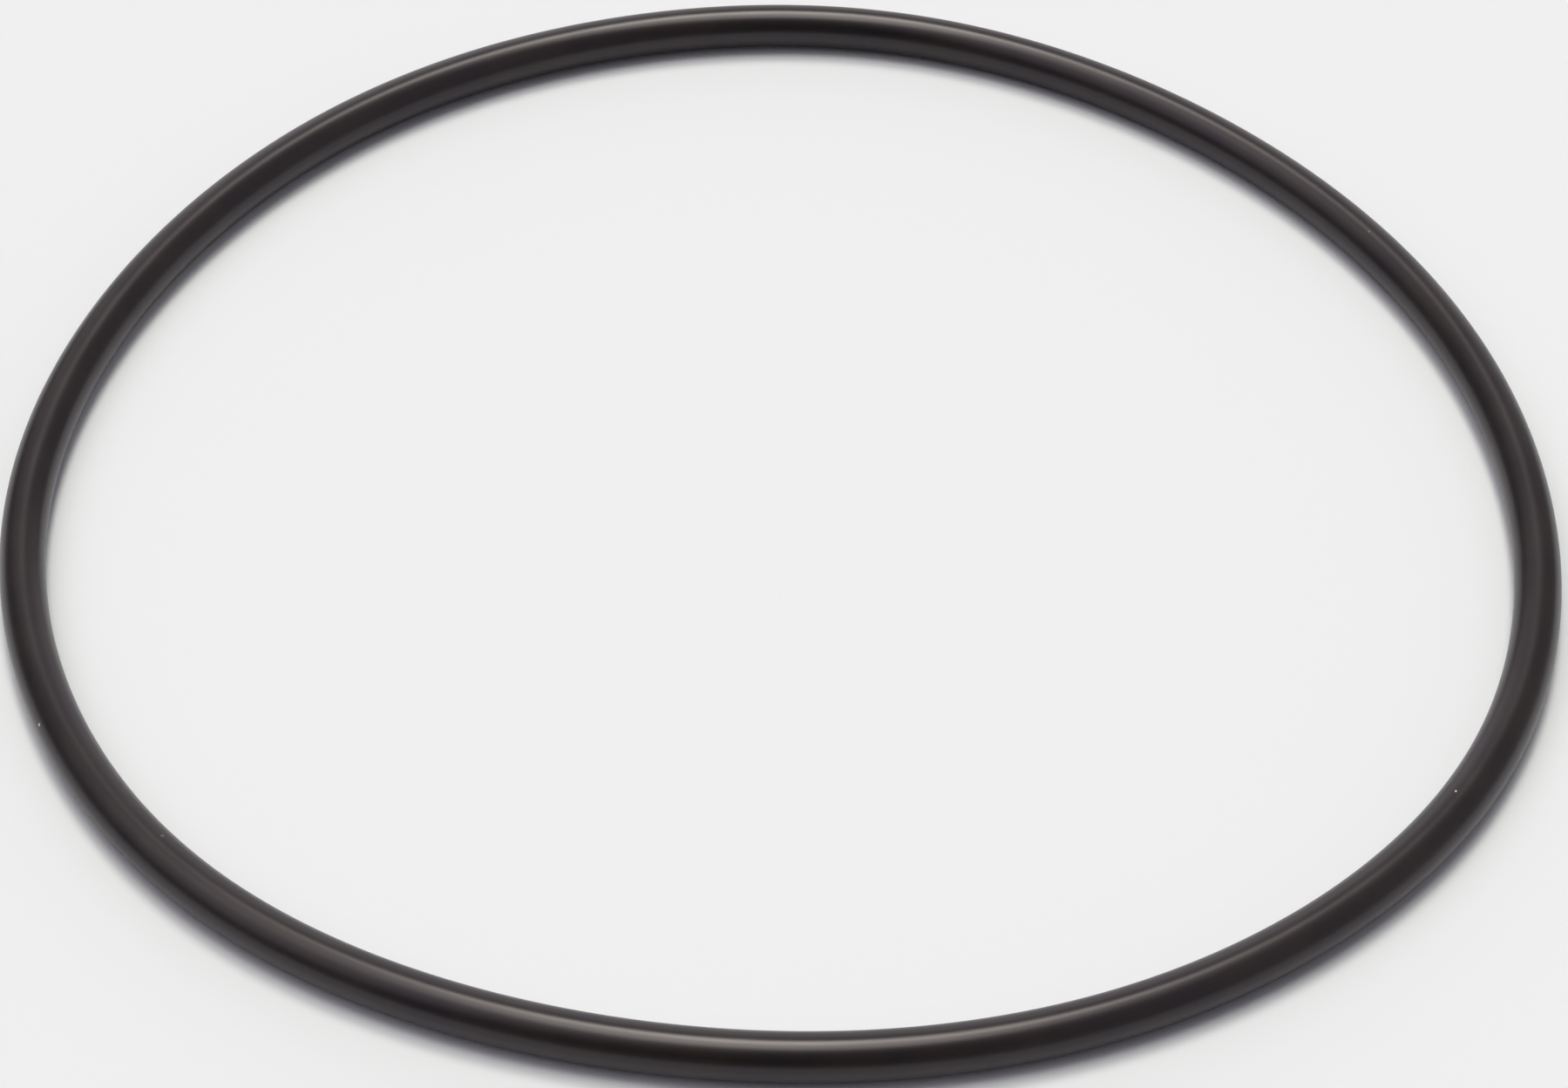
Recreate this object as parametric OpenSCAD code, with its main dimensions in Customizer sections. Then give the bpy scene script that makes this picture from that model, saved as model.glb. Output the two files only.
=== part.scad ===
// Rubber o-ring: one moulded ring of round section, lying relaxed on a flat surface.
// The ring isn't stretched, so its cord keeps its full length, but it doesn't lie in a true
// circle: its bend varies a little on the way round, in a few long waves. It is laid out as a
// closed chain of short arcs that all turn by the same angle and meet tangentially, each with
// its own radius. The waves have three or more turns in the round, so their sums cancel:
// the chain closes by itself, and the centre line is as long as that of the true circle.
// It lies on z = 0, with the middle of its outline at the origin.

/* [Ring] */
// Inside diameter of the true circle
inside_d = 110.72; // [60:0.01:160]
// Diameter of the round cord
cord_d = 3.53; // [1.5:0.01:7]

/* [Lay] */
// Share by which the three-sided wave varies the bend
three_share = 0.135; // [0:0.005:0.2]
// Direction of the middle of its first flat side
three_at = 31; // [-60:1:60]
// Share by which the four-sided wave varies the bend
four_share = 0.02; // [0:0.005:0.1]
// Direction of the middle of its first flat side
four_at = 0; // [-45:1:45]
// Share by which the five-sided wave varies the bend
five_share = 0.025; // [0:0.005:0.1]
// Direction of the middle of its first flat side
five_at = -27; // [-36:1:36]
// Share by which the seven-sided wave varies the bend
seven_share = 0.07; // [0:0.005:0.1]
// Direction of the middle of its first flat side
seven_at = 1; // [-25:1:25]

/* [Hidden] */
// The number of arcs is a multiple of 4, so an arc starts at each outermost point
arcs = 24;
step = 360 / arcs;
mean_r = (inside_d + cord_d) / 2;

// How far the bend radius departs from the mean in direction a, as a share of it
function wave(a) =
    three_share * cos(3 * (a - three_at))
    + four_share * cos(4 * (a - four_at))
    + five_share * cos(5 * (a - five_at))
    + seven_share * cos(7 * (a - seven_at));

// Bend radius of each arc, taken at its middle
bend_r = [for (i = [0 : arcs - 1]) mean_r * (1 + wave((i + 0.5) * step))];

function ray(a) = [cos(a), sin(a)];

// Each arc's centre lies on the ray where it meets the arc before it
function arc_centre(i) =
    i == 0 ? [0, 0] : arc_centre(i - 1) + (bend_r[i - 1] - bend_r[i]) * ray(i * step);

// Start of an arc on the centre line of the cord
function arc_start(i) = arc_centre(i) + bend_r[i] * ray(i * step);

// Middle of the outline, from the outermost points to the right, back, left and front
middle = [
    (arc_start(0)[0] + arc_start(arcs / 2)[0]) / 2,
    (arc_start(arcs / 4)[1] + arc_start(3 * arcs / 4)[1]) / 2,
];

// A move in two steps, whole microns first, so that no digit of it is lost and arcs meet exactly
function whole(v) = [for (x = v) round(x * 1000) / 1000];
module exact_move(v) {
    translate(whole(v)) translate(v - whole(v)) children();
}

// One stretch of the cord
module cord_arc(i) {
    place = arc_centre(i) - middle;
    exact_move([place[0], place[1], cord_d / 2])
        rotate_extrude(start = i * step, angle = step, $fn = 180)
            exact_move([bend_r[i], 0, 0])
                circle(d = cord_d, $fn = 32);
}

module o_ring() {
    color("#1c1b1b")
        for (i = [0 : arcs - 1])
            cord_arc(i);
}

o_ring();
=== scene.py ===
# A black rubber o-ring lying relaxed on a pale studio floor.
import math

import bpy
from mathutils import Matrix, Vector


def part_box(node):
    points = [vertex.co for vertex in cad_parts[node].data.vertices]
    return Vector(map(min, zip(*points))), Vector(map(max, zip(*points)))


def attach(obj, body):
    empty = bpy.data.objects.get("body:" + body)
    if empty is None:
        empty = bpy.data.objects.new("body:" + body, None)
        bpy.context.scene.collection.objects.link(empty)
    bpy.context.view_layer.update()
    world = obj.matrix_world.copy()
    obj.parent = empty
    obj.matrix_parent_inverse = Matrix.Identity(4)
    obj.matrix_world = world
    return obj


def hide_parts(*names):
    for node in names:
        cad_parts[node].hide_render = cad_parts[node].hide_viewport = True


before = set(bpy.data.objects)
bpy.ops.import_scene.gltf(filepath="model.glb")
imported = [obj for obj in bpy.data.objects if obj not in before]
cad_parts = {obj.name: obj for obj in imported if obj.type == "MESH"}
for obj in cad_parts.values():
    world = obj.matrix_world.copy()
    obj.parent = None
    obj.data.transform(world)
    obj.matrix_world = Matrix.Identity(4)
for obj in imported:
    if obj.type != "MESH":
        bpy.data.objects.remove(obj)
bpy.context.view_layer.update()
MM = 0.001
UP = Vector((0, 0, 1))

# Lay of the ring: how far its bend departs from a true circle, as waves of
# (sides in the round, share of the bend radius, direction of the first flat side in degrees)
LAY_WAVES = ((3, 0.135, 31), (4, 0.02, 0), (5, 0.025, -27), (7, 0.07, 1))
# The cord's thickness varies a little on the way round, as waves of
# (times round, share of the diameter, direction of the first thick place in degrees)
THICKNESS_WAVES = ((2, 0.012, -60), (3, 0.010, 2), (4, 0.006, -30))
STATIONS = 960
SECTION_POINTS = 64

# Rubber: two near blacks that it wavers between, and its gloss
RUBBER_BROWN = (0.0160, 0.0130, 0.0118, 1)
RUBBER_VIOLET = (0.0115, 0.0092, 0.0110, 1)
RUBBER_IOR = 1.5
RUBBER_TINT = (1.0, 0.9, 0.99, 1)
RUBBER_ROUGHNESS = 0.3
ROUGHNESS_CHANGE = 0.02

# Streaks along the cord: how many patches of noise the ring's radius and the cord's radius take in,
# how many finer layers the noise has, the part of its range that counts, and how deep they are
STREAKS_ROUND = 9
STREAKS_ACROSS = 2.2
STREAK_DETAIL = 3
STREAK_RANGE = (0.3, 0.7)
STREAK_DEPTH = 0.0016 * MM
# Other noise, as (size of its patches, how many finer layers it has)
MOTTLE = (5 * MM, 3)
MOTTLE_RANGE = (0.4, 0.6)
GRAIN = (0.15 * MM, 2)
GRAIN_DEPTH = 0.001 * MM
BUMP_STRENGTH = 0.5

# Specks of dust, as (degrees round the ring, degrees round the cord from 0 outside to 90 on top,
# radius, strength)
DUST = ((206, 26, 0.15 * MM, 1.0),
        (326, 100, 0.11 * MM, 0.9),
        (223, 106, 0.16 * MM, 0.12),
        (33, 103, 0.13 * MM, 0.12))
DUST_COLOUR = (0.8, 0.78, 0.74, 1)
DUST_ROUGHNESS = 0.9
# Noise that makes a speck ragged, as (size of its patches, how many finer layers it has). A speck
# fades between two shares of its radius, measured from its centre with that noise added.
DUST_RAGGED = (0.05 * MM, 1)
DUST_EDGE = (0.9, 1.5)

# Studio light: a dim room, darker round the camera, with warm lamps and paler walls as soft glows.
# Each glow is (degrees to the right of straight away, degrees up, inner and outer radius in degrees,
# radiance)
LIGHT = 1.09
LAMPS = ((1, 65, 0, 12, 13.2 * LIGHT),
         (-2, 85, 0, 18, 4.6 * LIGHT),
         (-65, 68, 0, 25, 0.8 * LIGHT))
WALLS = ((-100, 55, 0, 40, 0.75 * LIGHT),
         (-20, 30, 5, 27, 0.31 * LIGHT),
         (100, 35, 10, 70, 0.2 * LIGHT),
         (4, 4, 26, 35, 0.7 * LIGHT))
ROOM_LEVEL = 0.14 * LIGHT
DARK_LEVEL = 0.01
DARK_RADII = (25, 33)
LAMP_COLOUR = (1.0, 1.01, 0.87, 1)
ROOM_COLOUR = (1.0, 0.95, 0.99, 1)

# Floor: half its width in metres, and its finish
FLOOR_HALF_SIZE = 6.0
FLOOR_COLOUR = (0.88, 0.89, 0.96, 1)
FLOOR_ROUGHNESS = 0.8
FLOOR_GLOSS = 0.2

# Camera, fitted to the ring in the photograph
CAMERA_AIM = Vector((0.25, -6.93, 1.765)) * MM
CAMERA_DISTANCE = 349.4 * MM
CAMERA_ELEVATION = 43.7
CAMERA_ROLL = 1.24
LENS = 106.5
SENSOR_WIDTH = 36
NEAREST_SEEN = 10 * MM


def waves(terms, angle):
    """Sum of the waves at an angle in radians."""
    return sum(share * math.cos(times * (angle - math.radians(at))) for times, share, at in terms)


def centre_line(stations):
    """Points and outward directions on the cord's centre line, for a mean bend radius of 1."""
    step = 2 * math.pi / stations
    bend = [1 + waves(LAY_WAVES, (i + 0.5) * step) for i in range(stations)]
    rays = [Vector((math.cos(i * step), math.sin(i * step), 0)) for i in range(stations)]
    centre = Vector((0, 0, 0))
    points = []
    for i in range(stations):
        if i > 0:
            centre = centre + (bend[i - 1] - bend[i]) * rays[i]
        points.append(centre + bend[i] * rays[i])
    return points, rays


def cord_stations():
    """Centre, outward direction and radius of the cord at each station, sized from the CAD ring."""
    low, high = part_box("o_ring")
    cord_radius = (high.z - low.z) / 2
    points, rays = centre_line(STATIONS)
    xs = [point.x for point in points]
    ys = [point.y for point in points]
    middle = Vector(((min(xs) + max(xs)) / 2, (min(ys) + max(ys)) / 2, 0))
    scale = (high.x - low.x - 2 * cord_radius) / (max(xs) - min(xs))
    box_middle = (low + high) / 2
    stations = []
    for i, (point, ray) in enumerate(zip(points, rays)):
        radius = cord_radius * (1 + waves(THICKNESS_WAVES, 2 * math.pi * i / STATIONS))
        place = (point - middle) * scale
        core = Vector((place.x + box_middle.x, place.y + box_middle.y, low.z + radius))
        stations.append((core, ray, radius))
    return stations


def on_cord(station, turn):
    """Point on the cord's surface at a station, turned round the section by an angle in radians."""
    core, ray, radius = station
    return core + radius * (math.cos(turn) * ray + math.sin(turn) * UP)


def ring_mesh(stations):
    """The cord swept along its lay."""
    vertices = []
    round_values = []
    side_values = []
    for station in stations:
        ray = station[1]
        for j in range(SECTION_POINTS):
            turn = 2 * math.pi * j / SECTION_POINTS
            vertices.append(on_cord(station, turn))
            round_values += [ray.x, ray.y, math.cos(turn)]
            side_values.append(math.sin(turn))
    faces = []
    for i in range(STATIONS):
        here = i * SECTION_POINTS
        there = (i + 1) % STATIONS * SECTION_POINTS
        for j in range(SECTION_POINTS):
            beside = (j + 1) % SECTION_POINTS
            faces.append((here + j, there + j, there + beside, here + beside))
    mesh = bpy.data.meshes.new("rubber_ring")
    mesh.from_pydata(vertices, [], faces)
    mesh.shade_smooth()
    # Where each point lies round the ring and round the cord, for streaks that follow the cord
    cord_round = mesh.attributes.new("cord_round", "FLOAT_VECTOR", "POINT")
    cord_round.data.foreach_set("vector", round_values)
    cord_side = mesh.attributes.new("cord_side", "FLOAT", "POINT")
    cord_side.data.foreach_set("value", side_values)
    return mesh


def add(tree, kind, inputs, **settings):
    """A shader node with its settings, each input given a value or linked to another's output."""
    node = tree.nodes.new(kind)
    for name, value in settings.items():
        setattr(node, name, value)
    for socket, value in inputs.items():
        if isinstance(value, bpy.types.NodeSocket):
            tree.links.new(value, node.inputs[socket])
        else:
            node.inputs[socket].default_value = value
    return node


def calculate(tree, operation, *values):
    """The result of a sum on single values."""
    node = add(tree, "ShaderNodeMath", dict(enumerate(values)), operation=operation)
    return node.outputs["Value"]


def spread(tree, value, from_low, from_high, to_low, to_high, **settings):
    """The value carried from one range to another, held at its ends."""
    node = add(tree, "ShaderNodeMapRange", {"Value": value, "From Min": from_low,
                                            "From Max": from_high, "To Min": to_low,
                                            "To Max": to_high}, **settings)
    return node.outputs["Result"]


def blend(tree, share, first, second):
    """A colour between two others."""
    node = add(tree, "ShaderNodeMix", {"Factor": share, "A": first, "B": second}, data_type="RGBA")
    return node.outputs["Result"]


def patches(tree, place, size, detail):
    """Noise with patches of about one size."""
    node = add(tree, "ShaderNodeTexNoise", {"Vector": place, "Scale": 1 / size, "Detail": detail})
    return node.outputs["Fac"]


def cord_streaks(tree):
    """Noise drawn out along the cord, which has no seam round the ring or round the cord."""
    along = add(tree, "ShaderNodeAttribute", {}, attribute_name="cord_round").outputs["Vector"]
    side = add(tree, "ShaderNodeAttribute", {}, attribute_name="cord_side").outputs["Fac"]
    patches_each_way = (STREAKS_ROUND, STREAKS_ROUND, STREAKS_ACROSS)
    stretched = add(tree, "ShaderNodeVectorMath", {0: along, 1: patches_each_way}, operation="MULTIPLY")
    fourth = calculate(tree, "MULTIPLY", side, STREAKS_ACROSS)
    node = add(tree, "ShaderNodeTexNoise", {"Vector": stretched.outputs["Vector"], "W": fourth,
                                            "Scale": 1, "Detail": STREAK_DETAIL},
               noise_dimensions="4D")
    return node.outputs["Fac"]


def dust_cover(tree, place, stations):
    """How much dust covers the surface: a few ragged specks."""
    ragged = patches(tree, place, *DUST_RAGGED)
    solid, gone = DUST_EDGE
    total = 0
    for round_ring, round_cord, radius, strength in DUST:
        station = stations[round(round_ring / 360 * STATIONS)]
        centre = on_cord(station, math.radians(round_cord))
        away = add(tree, "ShaderNodeVectorMath", {0: place, 1: centre}, operation="DISTANCE")
        uneven = calculate(tree, "MULTIPLY_ADD", ragged, radius, away.outputs["Value"])
        speck = spread(tree, uneven, solid * radius, gone * radius, strength, 0)
        total = calculate(tree, "MAXIMUM", total, speck)
    return total


def rubber(stations):
    """Satin black rubber with faint streaks, mottled colour, fine grain and some dust."""
    material = bpy.data.materials.new("black_rubber")
    material.use_nodes = True
    tree = material.node_tree
    shader = tree.nodes["Principled BSDF"]
    shader.inputs["IOR"].default_value = RUBBER_IOR
    shader.inputs["Specular Tint"].default_value = RUBBER_TINT

    place = add(tree, "ShaderNodeTexCoord", {}).outputs["Object"]
    streaks = cord_streaks(tree)
    mottle = patches(tree, place, *MOTTLE)
    grain = patches(tree, place, *GRAIN)
    dust = dust_cover(tree, place, stations)

    violet_share = spread(tree, mottle, *MOTTLE_RANGE, 0, 1)
    black = blend(tree, violet_share, RUBBER_BROWN, RUBBER_VIOLET)
    tree.links.new(blend(tree, dust, black, DUST_COLOUR), shader.inputs["Base Color"])
    roughness = spread(tree, streaks, *STREAK_RANGE, RUBBER_ROUGHNESS - ROUGHNESS_CHANGE,
                       RUBBER_ROUGHNESS + ROUGHNESS_CHANGE)
    tree.links.new(spread(tree, dust, 0, 1, roughness, DUST_ROUGHNESS), shader.inputs["Roughness"])

    bump = add(tree, "ShaderNodeBump", {"Height": streaks, "Strength": BUMP_STRENGTH,
                                        "Distance": STREAK_DEPTH})
    fine = add(tree, "ShaderNodeBump", {"Height": grain, "Strength": BUMP_STRENGTH,
                                        "Distance": GRAIN_DEPTH, "Normal": bump.outputs["Normal"]})
    tree.links.new(fine.outputs["Normal"], shader.inputs["Normal"])
    return material


def make_ring():
    """The ring, in place of the CAD ring."""
    stations = cord_stations()
    ring = bpy.data.objects.new("rubber_ring", ring_mesh(stations))
    bpy.context.scene.collection.objects.link(ring)
    ring.data.materials.append(rubber(stations))
    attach(ring, "root")
    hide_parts("o_ring")


def make_floor():
    """A wide pale floor."""
    mesh = bpy.data.meshes.new("floor")
    half = FLOOR_HALF_SIZE
    corners = [(-half, -half, 0), (half, -half, 0), (half, half, 0), (-half, half, 0)]
    mesh.from_pydata(corners, [], [(0, 1, 2, 3)])
    floor = bpy.data.objects.new("floor", mesh)
    bpy.context.scene.collection.objects.link(floor)
    material = bpy.data.materials.new("floor_white")
    material.use_nodes = True
    shader = material.node_tree.nodes["Principled BSDF"]
    shader.inputs["Base Color"].default_value = FLOOR_COLOUR
    shader.inputs["Roughness"].default_value = FLOOR_ROUGHNESS
    shader.inputs["Specular IOR Level"].default_value = FLOOR_GLOSS
    mesh.materials.append(material)


def towards(azimuth, elevation):
    """Unit vector at that many degrees to the right of straight away, and that many up."""
    across = math.radians(azimuth)
    up = math.radians(elevation)
    return Vector((math.sin(across) * math.cos(up), math.cos(across) * math.cos(up), math.sin(up)))


def glow(tree, direction, centre, inner, outer, at_edge, at_centre):
    """A level that changes smoothly from one radius about a direction to another."""
    nearness = add(tree, "ShaderNodeVectorMath", {0: direction, 1: centre}, operation="DOT_PRODUCT")
    return spread(tree, nearness.outputs["Value"], math.cos(math.radians(outer)),
                  math.cos(math.radians(inner)), at_edge, at_centre,
                  interpolation_type="SMOOTHSTEP")


def glow_sum(tree, direction, glows, total):
    """A level raised by some glows."""
    for azimuth, elevation, inner, outer, radiance in glows:
        level = glow(tree, direction, towards(azimuth, elevation), inner, outer, 0, radiance)
        total = calculate(tree, "ADD", total, level)
    return total


def make_room():
    """Dim light from all round with soft glows in it, darker where the photographer stands."""
    world = bpy.data.worlds.new("room")
    bpy.context.scene.world = world
    world.use_nodes = True
    tree = world.node_tree
    direction = add(tree, "ShaderNodeTexCoord", {}).outputs["Generated"]
    camera_side = towards(180, CAMERA_ELEVATION)
    base = glow(tree, direction, camera_side, *DARK_RADII, ROOM_LEVEL, DARK_LEVEL)
    room = tree.nodes["Background"]
    room.inputs["Color"].default_value = ROOM_COLOUR
    tree.links.new(glow_sum(tree, direction, WALLS, base), room.inputs["Strength"])
    lamps = add(tree, "ShaderNodeBackground", {"Color": LAMP_COLOUR,
                                               "Strength": glow_sum(tree, direction, LAMPS, 0)})
    both = add(tree, "ShaderNodeAddShader", {0: room.outputs["Background"],
                                             1: lamps.outputs["Background"]})
    tree.links.new(both.outputs["Shader"], tree.nodes["World Output"].inputs["Surface"])


def make_camera():
    """The camera at the photograph's viewing angle."""
    view = -towards(180, CAMERA_ELEVATION)
    camera = bpy.data.objects.new("camera", bpy.data.cameras.new("camera"))
    bpy.context.scene.collection.objects.link(camera)
    camera.location = CAMERA_AIM - view * CAMERA_DISTANCE
    turn = view.to_track_quat("-Z", "Y").to_matrix().to_4x4()
    roll = Matrix.Rotation(math.radians(CAMERA_ROLL), 4, "Z")
    camera.rotation_euler = (turn @ roll).to_euler()
    camera.data.lens = LENS
    camera.data.sensor_width = SENSOR_WIDTH
    camera.data.sensor_fit = "HORIZONTAL"
    camera.data.clip_start = NEAREST_SEEN
    bpy.context.scene.camera = camera


make_ring()
make_floor()
make_room()
make_camera()
bpy.context.scene.view_settings.view_transform = "Standard"
